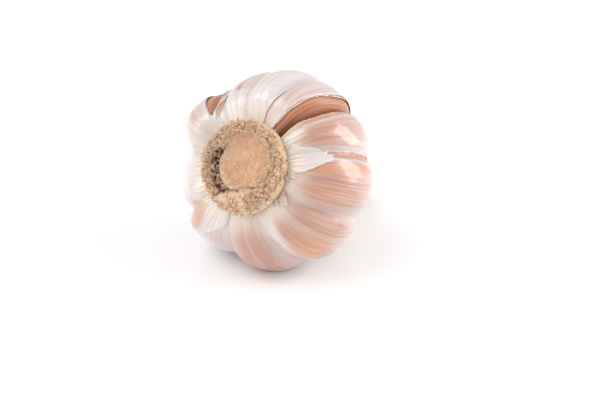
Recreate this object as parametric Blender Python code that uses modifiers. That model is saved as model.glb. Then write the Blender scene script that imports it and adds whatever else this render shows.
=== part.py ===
"""A garlic bulb at rest on its side: root plate, cloves, central stalk and two papery skins.

Everything is drawn in the bulb's own frame, then laid down by its parent empty. In the bulb's frame the
axis is Z, the root plate's outer face is at zero and the neck is at the top; angles turn about the axis
from the side that the bulb rests on. Lengths are in metres. A "meridian" is the outline of the cloves'
backs from the root plate to the neck, as (radius, height) pairs.
"""

import math

import bmesh
import bpy
from mathutils import Matrix, Vector
from mathutils.geometry import interpolate_bezier

MM = 0.001

# Driving dimensions of the whole bulb.
BELLY_RADIUS = 26.7 * MM
BELLY_HEIGHT = 21.0 * MM
NECK_RADIUS = 5.2 * MM
NECK_FOOT = 49.0 * MM
NECK_TOP = 59.0 * MM
FOOT_RADIUS = 8.0 * MM
FOOT_HEIGHT = 4.6 * MM

# The bulb leans back on its belly and the end of its neck.
REST_TILT = math.radians(28.5)
AXIS_CLEARANCE = 33.15 * MM

# It stands on three points, as (across the bulb, along its axis). Between them its underside is a little
# higher, by this much from this distance on.
REST_POINTS = ((-10.2 * MM, 26.1 * MM), (9.85 * MM, 25.7 * MM), (0.85 * MM, 59.0 * MM))
REST_RELIEF = 0.25 * MM
REST_SPREAD = 6.0 * MM

# Meshes that touch keep this gap, and the skins are this thick.
GAP = 0.3 * MM
INNER_SKIN = 0.3 * MM
OUTER_SKIN = 0.35 * MM

# The grooves between neighbouring cloves: angle at the belly, and how far it shifts at the root plate.
GROOVES = (
    (-33.5, 4.0),
    (9.0, 0.0),
    (57.0, -13.0),
    (85.0, 4.0),
    (142.0, -8.0),
    (165.0, -7.0),
    (190.0, -6.0),
    (214.5, -2.5),
    (244.5, -4.0),
    (282.0, 3.5),
)
CLOVES = len(GROOVES)

# A clove's back falls to the grooves beside it by this share of its depth, per radian of the narrower
# clove at the groove. Part of the fall is round and the rest is left to the edges.
GROOVE_DEPTH = 0.30
ROUND_SHARE = 0.4

# Shoulders that swell out beside the root plate: angle, spread and how much further from the heart they
# stand, then the radii where the swelling starts and is full, and the heights where it starts to fade and ends.
SWELLS = (
    (46.0, 17.0, 0.20),
    (108.0, 22.0, 0.27),
)
SWELL_RADII = (13.0 * MM, 19.0 * MM)
SWELL_HEIGHTS = (14.0 * MM, 34.0 * MM)

# A clove: what its cross-section shrinks towards, and how flat its flanks are.
HEART = Vector((14.0 * MM, 21.0 * MM))
FLANK_POWER = 4.0
CORE_RADIUS = 4.6 * MM
CLOVE_FOOT = 7.5 * MM
CLOVE_TIP = 44.5 * MM
CLOVE_RINGS = 14
CLOVE_SEGMENTS = 16

# The grid of a skin.
COLUMNS_PER_CLOVE = 6
SKIN_ROWS = 20

# Where the skins are torn away: clove number, columns across it and rows along it, each from and up to.
OUTER_TEARS = (
    (6, 3, 6, 2, 9),
    (7, 0, 1, 2, 9),
    (8, 0, 1, 4, 8),
    (3, 4, 6, 3, 6),
    (1, 4, 6, 3, 6),
)
INNER_TEARS = (
    (6, 4, 6, 3, 8),
    (3, 5, 6, 4, 6),
    (1, 5, 6, 4, 5),
)

# The root plate and the central stalk, as outlines that run down the outside: (radius, height) in mm.
ROOT_PLATE = (
    (0.0, 3.3),
    (9.0, 3.3),
    (12.0, 3.0),
    (13.0, 1.9),
    (12.8, 0.7),
    (11.9, 0.0),
    (10.4, 0.2),
    (9.4, 1.2),
    (8.6, 1.7),
    (0.0, 1.9),
)
CENTRAL_STALK = (
    (0.0, 58.6),
    (4.2, 58.6),
    (4.7, 58.2),
    (4.9, 50.0),
    (3.9, 44.0),
    (3.7, 30.0),
    (3.9, 9.0),
    (5.2, 5.6),
    (5.2, 3.8),
    (0.0, 3.8),
)
TURNED_STEPS = 40

COLOURS = {
    "root_plate": (0.60, 0.40, 0.24),
    "central_stalk": (0.66, 0.52, 0.34),
    "clove": (0.58, 0.27, 0.14),
    "skin": (0.86, 0.76, 0.70),
}


def clear_scene():
    for obj in list(bpy.data.objects):
        bpy.data.objects.remove(obj)


def smooth_step(value, start, end):
    share = min(1.0, max(0.0, (value - start) / (end - start)))
    return share * share * (3.0 - 2.0 * share)


def meridian():
    """The cloves' backs in three Bezier spans: under the root plate to the belly, the shoulder, and the neck."""
    foot = Vector((FOOT_RADIUS, FOOT_HEIGHT, 0.0))
    belly = Vector((BELLY_RADIUS, BELLY_HEIGHT, 0.0))
    neck = Vector((NECK_RADIUS * 1.2, NECK_FOOT, 0.0))
    top = Vector((NECK_RADIUS, NECK_TOP, 0.0))
    spans = (
        (foot, foot + Vector((12.0, -0.8, 0.0)) * MM, belly - Vector((0.0, 10.5, 0.0)) * MM, belly),
        (belly, belly + Vector((0.0, 12.0, 0.0)) * MM, neck + Vector((2.4, -9.0, 0.0)) * MM, neck),
        (neck, neck + Vector((-0.6, 3.0, 0.0)) * MM, top - Vector((0.0, 4.0, 0.0)) * MM, top),
    )
    points = [foot.xy]
    for start, leave, arrive, end in spans:
        points += [p.xy for p in interpolate_bezier(start, leave, arrive, end, 24)[1:]]
    return points


def walk(path, share):
    """The point at this share of a path's length, and the unit normal on its right."""
    lengths = [(b - a).length for a, b in zip(path, path[1:])]
    left = share * sum(lengths)
    for (a, b), length in zip(zip(path, path[1:]), lengths):
        if left <= length:
            break
        left -= length
    step = (b - a).normalized()
    return a + step * min(left, length), Vector((step.y, -step.x))


def groove_angle(number, height):
    """The angle of a groove at a height. Numbers run on past the last groove, a full turn further."""
    angle, shift = GROOVES[number % CLOVES]
    to_root = 1.0 - smooth_step(height, 0.0, BELLY_HEIGHT)
    return math.radians(angle + shift * to_root + 360.0 * (number // CLOVES))


def groove_dip(clove, across):
    """How far a clove's back has fallen at this place across it, as a share of its depth."""
    groove = clove if across < 0.0 else clove + 1
    before, here, after = (groove_angle(groove + n, BELLY_HEIGHT) for n in (-1, 0, 1))
    depth = GROOVE_DEPTH * min(here - before, after - here)
    return depth * (ROUND_SHARE * across**2 + (1.0 - ROUND_SHARE) * across**4)


def swollen(outline_point, angle):
    """The outline point moved away from the heart where a shoulder swells out at this angle."""
    radius, height = outline_point
    share = smooth_step(radius, *SWELL_RADII) * (1.0 - smooth_step(height, *SWELL_HEIGHTS))
    amount = sum(
        most * math.exp(-(((math.degrees(angle) - middle) / spread) ** 2)) for middle, spread, most in SWELLS
    )
    return HEART + (outline_point - HEART) * (1.0 + share * amount)


def turned_to(outline_point, clove, across, side_gap=0.0):
    """The outline point carried round the axis: across runs from -1 to 1 over the clove's width."""
    start, end = (groove_angle(clove + n, outline_point.y) for n in (0, 1))
    half_width = (end - start) / 2.0 - side_gap / outline_point.x
    angle = (start + end) / 2.0 + across * half_width
    radius, height = swollen(outline_point, angle)
    return Vector((radius * math.cos(angle), radius * math.sin(angle), height))


def pressed(point, level):
    """The point lifted straight up to this level over the floor, or a little more between the rest points."""
    up = Vector((-math.cos(REST_TILT), 0.0, -math.sin(REST_TILT)))
    height = point.dot(up) + AXIS_CLEARANCE
    nearest = min(math.hypot(-point.y - across, point.z - along) for across, along in REST_POINTS)
    relief = REST_RELIEF * smooth_step(nearest, 0.0, REST_SPREAD)
    return point + up * max(0.0, level + relief - height)


def superellipse(angle, power):
    """The two coordinates, across and out, of a superellipse at an angle."""
    across = math.copysign(abs(math.cos(angle)) ** (2.0 / power), math.cos(angle))
    return across, abs(math.sin(angle)) ** (2.0 / power)


def clove_mesh(number):
    """A sphere whose poles become the clove's two flanks and whose rings become its outline."""
    back = [p for p in meridian() if p.y < CLOVE_TIP]
    front = [Vector((CORE_RADIUS, CLOVE_TIP - 3.0 * MM)), Vector((CORE_RADIUS, CLOVE_FOOT))]
    outline = back + front + back[:1]
    bm = bmesh.new()
    bmesh.ops.create_uvsphere(bm, u_segments=CLOVE_SEGMENTS, v_segments=CLOVE_RINGS, radius=1.0)
    for vert in bm.verts:
        turn = math.atan2(vert.co.y, vert.co.x) / (2.0 * math.pi) % 1.0
        across, size = superellipse(math.acos(max(-1.0, min(1.0, vert.co.z))), FLANK_POWER)
        rim, _ = walk(outline, turn)
        section = HEART + (rim - HEART) * size * (1.0 - groove_dip(number, -across))
        point = turned_to(section, number, -across, side_gap=GAP / 2.0)
        vert.co = pressed(point, OUTER_SKIN + INNER_SKIN + 3.0 * GAP)
    return finished_mesh(bm, f"clove_{number + 1:02d}")


def skin_mesh(name, offset, level, tears):
    """An open sheet over all the cloves, from under the root plate to the neck, with its tears cut out."""
    path = meridian()
    columns = CLOVES * COLUMNS_PER_CLOVE
    bm = bmesh.new()
    bmesh.ops.create_grid(bm, x_segments=columns, y_segments=SKIN_ROWS, size=0.5)
    torn = []
    for face in bm.faces:
        centre = face.calc_center_median()
        clove, column = divmod(int((centre.x + 0.5) * columns), COLUMNS_PER_CLOVE)
        row = int((centre.y + 0.5) * SKIN_ROWS)
        if any(clove == n and c0 <= column < c1 and r0 <= row < r1 for n, c0, c1, r0, r1 in tears):
            torn.append(face)
    bmesh.ops.delete(bm, geom=torn, context="FACES")
    for vert in bm.verts:
        column = round((vert.co.x + 0.5) * columns)
        clove, step = divmod(column, COLUMNS_PER_CLOVE)
        across = 2.0 * step / COLUMNS_PER_CLOVE - 1.0
        rim, outward = walk(path, vert.co.y + 0.5)
        lobed = smooth_step(rim.y, 3.8 * MM, 9.0 * MM) - smooth_step(rim.y, 32.0 * MM, NECK_FOOT)
        dip = lobed * groove_dip(clove, across)
        section = HEART + (rim + outward * offset - HEART) * (1.0 - dip)
        vert.co = pressed(turned_to(section, clove, across), level)
    bmesh.ops.remove_doubles(bm, verts=bm.verts, dist=0.01 * MM)
    return finished_mesh(bm, name)


def turned_mesh(name, outline):
    """An outline's wire, for a Screw modifier to turn."""
    bm = bmesh.new()
    verts = [bm.verts.new((radius * MM, 0.0, height * MM)) for radius, height in outline]
    for pair in zip(verts, verts[1:]):
        bm.edges.new(pair)
    return finished_mesh(bm, name)


def finished_mesh(bm, name):
    mesh = bpy.data.meshes.new(name)
    bm.to_mesh(mesh)
    bm.free()
    mesh.shade_smooth()
    return mesh


def material(name, colour, roughness):
    made = bpy.data.materials.new(name)
    made.use_nodes = True
    shader = made.node_tree.nodes["Principled BSDF"]
    shader.inputs["Base Color"].default_value = (*colour, 1.0)
    shader.inputs["Roughness"].default_value = roughness
    shader.inputs["Metallic"].default_value = 0.0
    return made


def add_part(collection, mesh, finish, parent):
    obj = bpy.data.objects.new(mesh.name, mesh)
    obj.data.materials.append(finish)
    obj.parent = parent
    collection.objects.link(obj)
    return obj


def add_turned(collection, name, outline, finish, parent):
    obj = add_part(collection, turned_mesh(name, outline), finish, parent)
    screw = obj.modifiers.new("turn", "SCREW")
    screw.steps = TURNED_STEPS
    screw.render_steps = TURNED_STEPS
    screw.use_merge_vertices = True
    screw.merge_threshold = 0.01 * MM
    return obj


def add_skin(collection, name, offset, level, thickness, tears, finish, parent):
    obj = add_part(collection, skin_mesh(name, offset, level, tears), finish, parent)
    shell = obj.modifiers.new("thickness", "SOLIDIFY")
    shell.thickness = thickness
    shell.offset = 1.0
    return obj


def rest_pose():
    """The bulb's frame laid down: the root plate faces -Y and up, the neck points to +Y and down."""
    cos, sin = math.cos(REST_TILT), math.sin(REST_TILT)
    resting_side = Vector((0.0, -sin, -cos))
    left = Vector((-1.0, 0.0, 0.0))
    neck = Vector((0.0, cos, -sin))
    turn = Matrix((resting_side, left, neck)).transposed().to_4x4()
    return Matrix.Translation((0.0, 0.0, AXIS_CLEARANCE)) @ turn


def centre_over_origin(pose, parts):
    """Slides the laid bulb along the floor until its box is centred on the origin."""
    bpy.context.view_layer.update()
    graph = bpy.context.evaluated_depsgraph_get()
    corners = []
    for part in parts:
        shown = part.evaluated_get(graph)
        corners += [shown.matrix_world @ v.co for v in shown.data.vertices]
    for axis in (0, 1):
        values = [corner[axis] for corner in corners]
        pose.location[axis] -= (min(values) + max(values)) / 2.0


def build():
    clear_scene()
    collection = bpy.data.collections.new("garlic_bulb")
    bpy.context.scene.collection.children.link(collection)
    pose = bpy.data.objects.new("rest_pose", None)
    pose.matrix_world = rest_pose()
    collection.objects.link(pose)

    clove_finish = material("clove_skin", COLOURS["clove"], 0.35)
    skin_finish = material("papery_skin", COLOURS["skin"], 0.40)
    plate_finish = material("corky_plate", COLOURS["root_plate"], 0.90)
    stalk_finish = material("dry_stalk", COLOURS["central_stalk"], 0.80)

    parts = [
        add_turned(collection, "root_plate", ROOT_PLATE, plate_finish, pose),
        add_turned(collection, "central_stalk", CENTRAL_STALK, stalk_finish, pose),
    ]
    for number in range(CLOVES):
        parts.append(add_part(collection, clove_mesh(number), clove_finish, pose))
    inner_level = OUTER_SKIN + GAP + INNER_SKIN
    inner_offset = GAP
    outer_offset = GAP + INNER_SKIN + GAP
    parts.append(
        add_skin(
            collection, "inner_skin", inner_offset, inner_level, INNER_SKIN, INNER_TEARS, skin_finish, pose
        )
    )
    parts.append(
        add_skin(
            collection, "outer_skin", outer_offset, OUTER_SKIN, OUTER_SKIN, OUTER_TEARS, skin_finish, pose
        )
    )
    centre_over_origin(pose, parts)


build()
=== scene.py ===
"""A garlic bulb lying on its side: cloves, torn papery skins, corky root plate and cut neck.

Run as a script in Blender 4.5 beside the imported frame. Every piece is made in the bulb's own frame: the
axis runs from the root plate's outer face to the neck, and angles turn about it from the side that the
bulb lies on. A place on the bulb is an angle and a rise, the distance walked up the outline of the cloves'
backs from the foot under the root plate. Lengths in the tables below are in millimetres, and angles in
degrees.
"""

import math

import bmesh
import bpy
import numpy as np
from bpy.props import FloatProperty, FloatVectorProperty, IntProperty, PointerProperty
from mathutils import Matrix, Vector, noise
from mathutils.geometry import interpolate_bezier


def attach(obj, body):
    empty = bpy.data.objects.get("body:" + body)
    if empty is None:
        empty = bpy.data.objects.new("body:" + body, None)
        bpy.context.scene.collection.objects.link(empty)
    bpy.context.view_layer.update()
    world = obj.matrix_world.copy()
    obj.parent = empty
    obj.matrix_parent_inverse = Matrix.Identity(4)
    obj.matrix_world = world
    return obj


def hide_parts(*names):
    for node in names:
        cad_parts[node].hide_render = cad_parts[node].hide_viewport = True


bl_info = {
    "name": "Garlic bulb",
    "version": (1, 0, 0),
    "blender": (4, 5, 0),
    "location": "3D View > Sidebar > Garlic",
    "description": "Builds a garlic bulb with torn papery skins around its packed frame",
    "category": "Add Mesh",
}

MM = 0.001
TURN = 2.0 * math.pi

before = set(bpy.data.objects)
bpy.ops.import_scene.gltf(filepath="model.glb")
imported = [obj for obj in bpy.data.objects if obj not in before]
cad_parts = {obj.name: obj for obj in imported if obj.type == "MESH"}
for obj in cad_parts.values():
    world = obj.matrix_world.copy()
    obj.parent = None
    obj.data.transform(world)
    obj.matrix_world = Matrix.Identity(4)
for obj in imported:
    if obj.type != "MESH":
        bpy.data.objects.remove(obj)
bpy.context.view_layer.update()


# --- The bulb's own frame and its main sizes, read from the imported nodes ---


def node_points(name):
    """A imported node's separate vertices, as rows of x, y and z."""
    points = np.array([vert.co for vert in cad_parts[name].data.vertices], float)
    return np.unique(points.round(7), axis=0)


# How high above the root plate's face the bulb is widest.
BELLY_HEIGHT = 21.0


class Bulb:
    """Where the bulb lies, and its driving sizes."""

    def __init__(self):
        plate = node_points("root_plate")
        stalk = node_points("central_stalk")
        self.axis = unit(stalk.mean(0) - plate.mean(0))
        down = np.array((0.0, 0.0, -1.0))
        self.rest = unit(down - self.axis * (down @ self.axis))
        self.side = np.cross(self.axis, self.rest)
        face = (plate @ self.axis).min()
        self.origin = plate.mean(0) + self.axis * (face - plate.mean(0) @ self.axis)

        self.clove_names = sorted(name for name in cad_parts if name.startswith("clove_"))
        cloves = [self.around(node_points(name)) for name in self.clove_names]
        self.belly_radius = np.median([clove[1].max() for clove in cloves])
        self.belly_height = BELLY_HEIGHT * MM
        self.neck_top = self.around(node_points("outer_skin"))[2].max()
        self.grooves = self.groove_angles(cloves)

    def around(self, points):
        """Angle, radius and height of points in the bulb's frame."""
        local = points - self.origin
        x, y, z = local @ self.rest, local @ self.side, local @ self.axis
        return np.stack((np.arctan2(y, x), np.hypot(x, y), z))

    def groove_angles(self, cloves):
        """The angle halfway between each clove and the one before it, starting with the first clove's."""
        spans = []
        for angle, _, _ in cloves:
            middle = math.atan2(np.sin(angle).mean(), np.cos(angle).mean())
            turned = wrapped(angle - middle)
            spans.append((middle + turned.min(), middle + turned.max()))
        starts, ends = np.array(spans).T
        return starts + wrapped(np.roll(ends, 1) - starts) / 2.0

    def place(self, angle, radius, height):
        """World points from angle, radius and height."""
        x = (radius * np.cos(angle))[..., None] * self.rest
        y = (radius * np.sin(angle))[..., None] * self.side
        return self.origin + x + y + height[..., None] * self.axis


def unit(vector):
    return vector / np.linalg.norm(vector)


def wrapped(angle):
    """An angle brought between half a turn either way."""
    return (angle + math.pi) % TURN - math.pi


BULB = Bulb()
CLOVES = len(BULB.clove_names)

# How far each groove leans round the bulb between the belly and the root plate.
GROOVE_LEAN = np.radians((4.0, 0.0, -13.0, 4.0, -8.0, -7.0, -6.0, -2.5, -4.0, 3.5))

# How much of its depth each groove keeps; the narrow cloves on top lie nearly flush.
GROOVE_SHARE = np.array((1.0, 0.9, 1.0, 0.7, 1.0, 0.6, 0.45, 1.0, 0.9, 0.9))

# The outline of the cloves' backs beyond the belly, which the frame gives: radius and height of its foot,
# and the neck. Cloves and skins shrink towards the heart where they dip into a groove.
FOOT = (8.0, 4.6)
NECK_RADIUS = 5.2
NECK_FOOT = 49.0
HEART = np.array((14.0, 21.0)) * MM
SPAN_STEPS = 60

# The heights where the lobes start to show above the foot, and where they end at the neck.
LOBES_START = (3.8, 9.0)
LOBES_END = (32.0, NECK_FOOT)

# Shoulders that swell out beside the root plate: angle, spread, and how much further from the heart they
# are, then the radii where the swelling starts and is full, and the heights where it fades.
SWELLS = (
    (46.0, 17.0, 0.20),
    (108.0, 22.0, 0.27),
    (178.0, 30.0, 0.125),
)
SWELL_RADII = (13.0, 19.0)
SWELL_HEIGHTS = (14.0, 34.0)

# A groove's depth against its cloves' width, and how round the skins are where they dip into it.
GROOVE_DEPTH = 0.30
VALLEY = 0.13

# How square a clove's flanks are, the radius and the ends of its inner side along the stalk, the room left
# at each flank, and its faces from flank to flank and along its outline.
FLANK_POWER = 4.0
CORE_RADIUS = 4.6
CLOVE_FOOT = 7.5
CLOVE_TIP = 44.5
CLOVE_GAP = 0.15
CLOVE_RINGS, CLOVE_SEGMENTS = 60, 110

# How high over the floor each layer is pressed, and how far the sheets lie off the cloves.
CLOVE_LEVEL = 1.55
INNER_LEVEL, INNER_LIFT = 0.80, 0.22
OUTER_LEVEL, OUTER_LIFT = 0.12, 0.37
LOOSE_LEVEL, FLAP_LIFT, SCRAP_LIFT = 0.20, 0.50, 0.85

# The share of a groove's depth that the whole sheets and the loose ones dip.
SHEET_DIP, LOOSE_DIP = 0.90, 0.88


# --- Settings ---


def size_property(name, description, value):
    kind = {"min": 0.0, "unit": "LENGTH", "precision": 5}
    return FloatProperty(name=name, description=description, default=value * MM, **kind)


def count_property(name, description, value, low=0):
    return IntProperty(name=name, description=description, default=value, min=low)


def colour_property(name, description, value):
    return FloatVectorProperty(name=name, description=description, default=value, size=3, subtype="COLOR")


class GARLIC_PG_sizes(bpy.types.PropertyGroup):
    """Sizes of the bulb's finer parts."""

    paper: size_property("Paper", "Thickness of one sheet of skin", 0.08)
    curl: size_property("Curl", "How far a torn edge of skin stands off", 0.09)
    pucker: size_property("Pucker", "How deep the skin is gathered at the root plate", 0.20)
    stub_length: size_property("Root stub", "Length of a trimmed root", 0.85)
    stubs: count_property("Root stubs", "How many trimmed roots ring the plate", 1000)
    threads: count_property("Threads", "How many fine root threads lie among them", 450)
    skin_columns: count_property("Skin columns", "Faces round a whole sheet", 500, 40)
    skin_rows: count_property("Skin rows", "Faces along a whole sheet", 92, 20)


class GARLIC_PG_colours(bpy.types.PropertyGroup):
    """Colours of the skins, the cloves and the root plate."""

    paper: colour_property("Paper", "White of the skins", (0.765, 0.71, 0.70))
    cream: colour_property("Cream", "The skins' tint beside the root plate", (0.82, 0.70, 0.55))
    tan: colour_property("Tan", "Where the skin is thin over a clove", (0.53, 0.265, 0.185))
    rust: colour_property("Rust", "Where the skin is bare or nearly so", (0.66, 0.285, 0.135))
    vein: colour_property("Vein", "Pink-brown lines along the skins", (0.40, 0.20, 0.17))
    # shade is painted shade, mixed into the skins towards the grooves between the cloves.
    shade: colour_property("Shade", "The skins' tint between the cloves", (0.48, 0.33, 0.31))
    clove: colour_property("Clove", "The cloves' own skin", (0.45, 0.155, 0.07))
    clove_light: colour_property("Clove light", "Paler stretches of the cloves' skin", (0.57, 0.26, 0.145))
    clove_vein: colour_property("Clove vein", "Lines along the cloves", (0.34, 0.10, 0.05))
    cork: colour_property("Cork", "The root plate", (0.74, 0.385, 0.225))
    cork_light: colour_property("Cork light", "Fresh fibre on the root plate", (1.0, 0.76, 0.53))
    # cork_dark is dark grains, painted shade in the plate's hollows and at the roots' feet, and the darker
    # tone of the cleft and the cut neck.
    cork_dark: colour_property("Cork dark", "The root plate's hollows", (0.13, 0.06, 0.035))
    cork_grey: colour_property("Cork grey", "Weathered fibre on the root plate", (0.76, 0.62, 0.50))
    floor: colour_property("Floor", "The surface that the bulb lies on", (0.97, 0.97, 0.97))


# --- Shaders ---


class Value:
    """One number at a socket. Arithmetic on it adds Math nodes."""

    def __init__(self, finish, socket):
        self.finish = finish
        self.socket = socket

    def math(self, operation, *terms, clamp=False):
        settings = {"operation": operation, "use_clamp": clamp}
        return self.finish.value("ShaderNodeMath", settings, dict(enumerate(terms)))

    def __add__(self, other):
        return self.math("ADD", self, other)

    def __sub__(self, other):
        return self.math("SUBTRACT", self, other)

    def __rsub__(self, other):
        return self.math("SUBTRACT", other, self)

    def __mul__(self, other):
        return self.math("MULTIPLY", self, other)

    def __abs__(self):
        return self.math("ABSOLUTE", self)

    __radd__ = __add__
    __rmul__ = __mul__

    def clamped(self):
        return self.math("ADD", self, 0.0, clamp=True)

    def between(self, low, high):
        """0 below low, 1 above high, and smooth between them."""
        settings = {"interpolation_type": "SMOOTHSTEP"}
        inputs = {"Value": self, "From Min": low, "From Max": high}
        return self.finish.value("ShaderNodeMapRange", settings, inputs)


class Finish:
    """A material and the few ways of adding nodes to it."""

    def __init__(self, name):
        self.material = bpy.data.materials.new(name)
        self.material.use_nodes = True
        self.tree = self.material.node_tree
        self.surface = self.tree.nodes["Principled BSDF"]

    def node(self, kind, settings=None, inputs=None):
        """A node of this kind: its settings first, then the values or links of its sockets."""
        made = self.tree.nodes.new(kind)
        for key, value in (settings or {}).items():
            setattr(made, key, value)
        self.connect(made, inputs or {})
        return made

    def connect(self, node, inputs):
        for key, value in inputs.items():
            if isinstance(value, Value):
                value = value.socket
            if isinstance(value, bpy.types.NodeSocket):
                self.tree.links.new(value, node.inputs[key])
            else:
                node.inputs[key].default_value = value

    def value(self, kind, settings=None, inputs=None, output=0):
        return Value(self, self.node(kind, settings, inputs).outputs[output])

    def attributes(self, *names):
        """Numbers kept on the mesh's vertices."""
        return [self.value("ShaderNodeAttribute", {"attribute_name": name}, output="Fac") for name in names]

    def attribute_vector(self, name):
        """A vector kept on the mesh's vertices."""
        return self.node("ShaderNodeAttribute", {"attribute_name": name}).outputs["Vector"]

    def scaled(self, vector, scale):
        """A vector times three numbers."""
        inputs = {0: vector, 1: scale}
        return self.node("ShaderNodeVectorMath", {"operation": "MULTIPLY"}, inputs).outputs[0]

    def noise(self, vector, scale, detail=2.0, roughness=0.5, distortion=0.0):
        inputs = {"Vector": vector, "Scale": scale, "Detail": detail, "Roughness": roughness}
        inputs["Distortion"] = distortion
        return self.value("ShaderNodeTexNoise", {"noise_dimensions": "3D"}, inputs)

    def mix(self, share, first, second):
        """Two colours mixed."""
        settings = {"data_type": "RGBA", "clamp_factor": True}
        inputs = {0: share, 6: rgba(first), 7: rgba(second)}
        return self.node("ShaderNodeMix", settings, inputs).outputs[2]

    def bump(self, height, distance, strength):
        inputs = {"Height": height, "Distance": distance, "Strength": strength}
        return self.node("ShaderNodeBump", None, inputs).outputs[0]

    def finish(self, **inputs):
        """Sets the surface's own sockets; an underscore stands for a space."""
        named = {key.replace("_", " "): value for key, value in inputs.items()}
        self.connect(self.surface, named)
        return self.material


def rgba(colour):
    if isinstance(colour, bpy.types.NodeSocket):
        return colour
    return (*colour, 1.0)


# --- The bulb's form ---


def smooth_step(value, start, end):
    share = np.clip((value - start) / (end - start), 0.0, 1.0)
    return share * share * (3.0 - 2.0 * share)


def spline(knots, at):
    """A smooth curve through (place, value) knots, level at its ends, read at these places."""
    places, values = np.array(knots, float).T
    span = np.clip(np.searchsorted(places, at, side="right") - 1, 0, len(places) - 2)
    slopes = np.gradient(values, places)
    slopes[[0, -1]] = 0.0
    width = places[span + 1] - places[span]
    share = np.clip((at - places[span]) / width, 0.0, 1.0)
    start, end = values[span], values[span + 1]
    leave, arrive = slopes[span] * width, slopes[span + 1] * width
    square, cube = share**2, share**3
    return (
        start * (2 * cube - 3 * square + 1)
        + leave * (cube - 2 * square + share)
        + end * (3 * square - 2 * cube)
        + arrive * (cube - square)
    )


def ripples(angle, rise, seed, counts, drift):
    """A sum of waves round the bulb that closes on itself: their counts, and how they drift as they rise."""
    draw = np.random.default_rng(seed)
    total = np.zeros(np.broadcast(angle, rise).shape)
    for count in counts:
        phase, lean = draw.uniform(0.0, TURN), draw.uniform(-drift, drift)
        total += draw.uniform(0.5, 1.0) * np.cos(count * angle + lean * rise / MM + phase)
    return total / len(counts)


def read_along(at, lengths, rows):
    """Two-column rows read at these places along a path."""
    return np.stack([np.interp(at, lengths, rows[:, n]) for n in (0, 1)], axis=-1)


def walked(path):
    """The distance along a path to each of its points."""
    return np.concatenate(([0.0], np.cumsum(np.hypot(*np.diff(path, axis=0).T))))


class Outline:
    """The cloves' backs from the foot to the top of the neck, read by rise."""

    def __init__(self):
        def point(radius, height):
            return Vector((radius * MM, height * MM, 0.0))

        foot = point(*FOOT)
        belly = Vector((BULB.belly_radius, BULB.belly_height, 0.0))
        neck = point(NECK_RADIUS * 1.2, NECK_FOOT)
        top = Vector((NECK_RADIUS * MM, BULB.neck_top, 0.0))
        spans = (
            (foot, foot + point(12.0, -0.8), belly - point(0.0, 10.5), belly),
            (belly, belly + point(0.0, 12.0), neck + point(2.4, -9.0), neck),
            (neck, neck + point(-0.6, 3.0), top - point(0.0, 4.0), top),
        )
        path = [foot.xy]
        for span in spans:
            path += [p.xy for p in interpolate_bezier(*span, SPAN_STEPS)[1:]]
        self.path = np.array(path)
        self.rises = walked(self.path)
        tangent = np.gradient(self.path, self.rises, axis=0)
        tangent /= np.linalg.norm(tangent, axis=1)[:, None]
        self.outward = np.stack((tangent[:, 1], -tangent[:, 0]), axis=1)
        self.length = self.rises[-1]

    def at(self, rise):
        """The outline's points and its unit outward normals."""
        return read_along(rise, self.rises, self.path), read_along(rise, self.rises, self.outward)

    def radius(self, rise):
        return self.at(rise)[0][..., 0]


OUTLINE = Outline()


def groove_table(height):
    """Every groove's angle at each height."""
    to_root = 1.0 - smooth_step(height, 0.0, BULB.belly_height)
    return BULB.grooves + GROOVE_LEAN * to_root[..., None]


def clove_widths(table):
    """The angle that each clove takes up between its two grooves."""
    return (np.roll(table, -1, axis=-1) - table) % TURN


def groove_depths(widths):
    """How deep the groove on each clove's first side is, from the angles that the cloves take up."""
    return GROOVE_DEPTH * GROOVE_SHARE * np.minimum(widths, np.roll(widths, 1, axis=-1))


def picked(table, clove):
    """The value that each place's own clove has in a table with a column for every clove."""
    return np.take_along_axis(table, clove[..., None], -1)[..., 0]


def clove_under(angle, height):
    """Which clove lies under a place, how far across it the place is (-1 to 1), and the groove's depth."""
    table = groove_table(height)
    past = (angle[..., None] - table) % TURN
    clove = past.argmin(-1)
    widths = clove_widths(table)
    across = 2.0 * picked(past, clove) / picked(widths, clove) - 1.0
    groove = np.where(across < 0.0, clove, (clove + 1) % CLOVES)
    return clove, across, picked(groove_depths(widths), groove)


def fibre_angle(clove, across):
    """The angle that a place across a clove has at the belly; the skins' fibres keep it all their way."""
    return BULB.grooves[clove] + (across + 1.0) / 2.0 * clove_widths(BULB.grooves)[clove]


def back_fall(across):
    """How a clove's back falls away from its crest, from 0 to 1 at the groove."""
    return 0.4 * across**2 + 0.6 * across**4


def swollen(section, angle):
    """Outline points moved away from the heart where a shoulder swells out."""
    radius, height = section[..., 0] / MM, section[..., 1] / MM
    share = smooth_step(radius, *SWELL_RADII) * (1.0 - smooth_step(height, *SWELL_HEIGHTS))
    amount = np.zeros(np.shape(angle))
    for middle, spread, most in SWELLS:
        amount += most * np.exp(-((wrapped(angle - math.radians(middle)) / math.radians(spread)) ** 2))
    return HEART + (section - HEART) * (1.0 + share * amount)[..., None]


def pressed(points, level):
    """Points below this level over the floor are lifted to it, as the bulb's weight does."""
    lifted = points.copy()
    lifted[..., 2] = np.maximum(points[..., 2], level * MM)
    return lifted


def skin_points(angle, rise, offset, depth_share, level):
    """Points of a skin that lies over the cloves at this offset and dips into the grooves between them."""
    rim, outward = OUTLINE.at(rise)
    height = rim[..., 1]
    _, across, depth = clove_under(angle, height)
    from_groove = np.hypot(1.0 - np.abs(across), VALLEY) - VALLEY
    level_share = from_groove / (math.hypot(1.0, VALLEY) - VALLEY)
    lobed = smooth_step(height / MM, *LOBES_START) - smooth_step(height / MM, *LOBES_END)
    dip = lobed * depth_share * depth * back_fall(1.0 - level_share)
    section = HEART + (rim + outward * offset[..., None] - HEART) * (1.0 - dip[..., None])
    section = swollen(section, angle)
    return pressed(BULB.place(angle, section[..., 0], section[..., 1]), level)


# --- Meshes ---


def settings():
    return bpy.context.scene.garlic_sizes, bpy.context.scene.garlic_colours


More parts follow.
